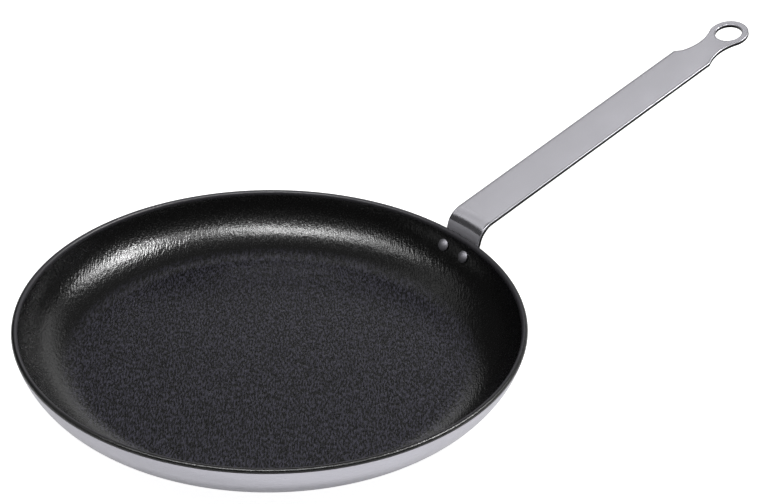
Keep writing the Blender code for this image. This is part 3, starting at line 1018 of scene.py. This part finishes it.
# Brightness of the cloth by the sine of the height that it is seen at: dark low down.
TENT_GLOW = [(0.0, 0.045), (0.55, 0.045), (0.68, 0.13), (1.0, 0.13)]
around = np.linspace(0, 2 * math.pi, TENT_GORES + 1)
rise = np.linspace(0, math.pi / 2, TENT_ROWS + 1)
tent_grid = turned(TENT_RADIUS * np.stack([np.cos(rise), np.sin(rise)], 1), around)
tent_quads = grid_quads(TENT_ROWS + 1, TENT_GORES + 1, 0).reshape(-1, 4)
tent_mesh = bpy.data.meshes.new("tent")
tent_mesh.from_pydata(tent_grid.reshape(-1, 3).tolist(), [], tent_quads.tolist())
tent = bpy.data.objects.new("tent", tent_mesh)
bpy.context.scene.collection.objects.link(tent)
tent.visible_camera = False
cloth = bpy.data.materials.new("tent_cloth")
cloth.use_nodes = True
tree = cloth.node_tree
tree.nodes.clear()
coords = add_node(tree, "TexCoord")
apart = add_node(tree, "SeparateXYZ", links={0: coords.outputs["Object"]})
sine = add_node(tree, "Math", {"operation": "DIVIDE", 1: TENT_RADIUS}, {0: apart.outputs["Z"]})
ramp = add_node(tree, "ValToRGB", links={0: sine.outputs[0]})
while len(ramp.color_ramp.elements) < len(TENT_GLOW):
    ramp.color_ramp.elements.new(0.5)
for element, (place, level) in zip(ramp.color_ramp.elements, TENT_GLOW):
    element.position = place
    element.color = (level, level, level, 1)
glow = add_node(tree, "Emission", links={"Color": ramp.outputs["Color"]})
add_node(tree, "OutputMaterial", links={"Surface": glow.outputs[0]})
tent_mesh.materials.append(cloth)
print("tent", 2 * TENT_RADIUS, "m wide")

# %% Room
world = bpy.data.worlds.new("white_room")
bpy.context.scene.world = world
world.use_nodes = True
world.node_tree.nodes["Background"].inputs["Color"].default_value = (1, 1, 1, 1)
print("room:", world.name)

# %% Lamps
VIEW_AZIMUTH = math.radians(40.81)
RIGHT = np.array([math.cos(VIEW_AZIMUTH), -math.sin(VIEW_AZIMUTH), 0])
BEHIND = np.array([math.sin(VIEW_AZIMUTH), math.cos(VIEW_AZIMUTH), 0])


def sky_point(turn, lift, distance=2.0):
    """Point round the pan: turned to the right from straight behind it, and lifted above level."""
    turn, lift = math.radians(turn), math.radians(lift)
    level = RIGHT * math.sin(turn) + BEHIND * math.cos(turn)
    return (level * math.cos(lift) + np.array([0, 0, math.sin(lift)])) * distance


def softbox(name, place, width, height, radiance, back=None, roll=0):
    """A rectangle of light, whose back is turned away from the pan, rolled from level.

    A surface of radiance L sends out pi times L from each square metre.
    """
    data = bpy.data.lights.new(name, "AREA")
    data.shape = "RECTANGLE"
    data.size = width
    data.size_y = height
    data.energy = radiance * math.pi * width * height
    lamp = bpy.data.objects.new(name, data)
    bpy.context.scene.collection.objects.link(lamp)
    lamp.location = Vector(place)
    facing = Vector(place if back is None else back).to_track_quat("Z", "Y").to_matrix()
    lamp.rotation_euler = (facing @ Matrix.Rotation(math.radians(roll), 3, "Z")).to_euler()
    lamp.visible_camera = False
    return lamp


# The lamps draw the bright band on the wall, and the cards carry it on to the left and the right.
softbox("lamp_right", sky_point(88, 47), width=0.60, height=0.38, radiance=32.0)
softbox("card_right", sky_point(68, 38), width=0.45, height=0.34, radiance=12.0)
softbox("lamp_front", sky_point(-172, 70), width=1.50, height=0.30, radiance=20.0)
softbox("card_front_left", sky_point(-108, 55), width=0.80, height=0.36, radiance=6.0)
softbox("card_front_right", sky_point(120, 58), width=0.50, height=0.36, radiance=3.0)
# The backdrop lies where the floor looks, the low card where the bend's foot looks, and the long
# card, level with the strip's run, where its face looks.
softbox("backdrop", sky_point(12, 17), width=2.1, height=1.12, radiance=0.18)
softbox("backdrop_strip", sky_point(16, 20), width=2.1, height=0.46, radiance=0.65)
softbox("card_low_left", sky_point(-91, 6, distance=1.0), width=0.7, height=0.19, radiance=0.45)
softbox(
    "card_along_handle", (0.16, 1.3, 1.60), width=2.4, height=0.38, radiance=0.70,
    back=(0, 1, 0), roll=-12,
)

# %% [markdown]
# ## The camera
# The rim's ellipse in the picture fixes the viewing height and the distance in rim radii, and the
# handle's direction fixes where the camera stands round the pan. It could be placed by eye, but a
# fit leaves 19 parts in 20 of the outline within 2 pixels. Its worst spots are 3 pixels off.

# %% Camera
VIEW_HEIGHT = math.radians(31.09)
DISTANCE = 8.177 * RIM_RADIUS
FOCAL_PIXELS = 2100.0
AIM_RIGHT, AIM_DOWN = -107.23, 68.47
ROLL = math.radians(1.5)
PICTURE_WIDTH = 760
SENSOR = 36.0

forward = BEHIND * math.cos(VIEW_HEIGHT) - np.array([0, 0, math.sin(VIEW_HEIGHT)])
upward = np.cross(RIGHT, forward)
target = np.array([0, 0, LIP_CENTRE[1]])
per_pixel = DISTANCE / FOCAL_PIXELS
aside = (upward * AIM_DOWN - RIGHT * AIM_RIGHT) * per_pixel
eye_point = target + aside - forward * DISTANCE
camera_data = bpy.data.cameras.new("camera")
camera_data.sensor_width = SENSOR
camera_data.lens = FOCAL_PIXELS * SENSOR / PICTURE_WIDTH
camera_data.clip_start, camera_data.clip_end = 0.01, 100
camera = bpy.data.objects.new("camera", camera_data)
bpy.context.scene.collection.objects.link(camera)
bpy.context.scene.camera = camera
right_tilted = RIGHT * math.cos(ROLL) + upward * math.sin(ROLL)
up_tilted = upward * math.cos(ROLL) - RIGHT * math.sin(ROLL)
turned_camera = Matrix(np.stack([right_tilted, up_tilted, -forward], 1).tolist()).to_4x4()
camera.matrix_world = Matrix.Translation(Vector(eye_point)) @ turned_camera
bpy.context.scene.view_settings.view_transform = "Standard"
print("camera", round(DISTANCE, 3), "m from the rim's centre, lens", round(camera_data.lens, 1), "mm")
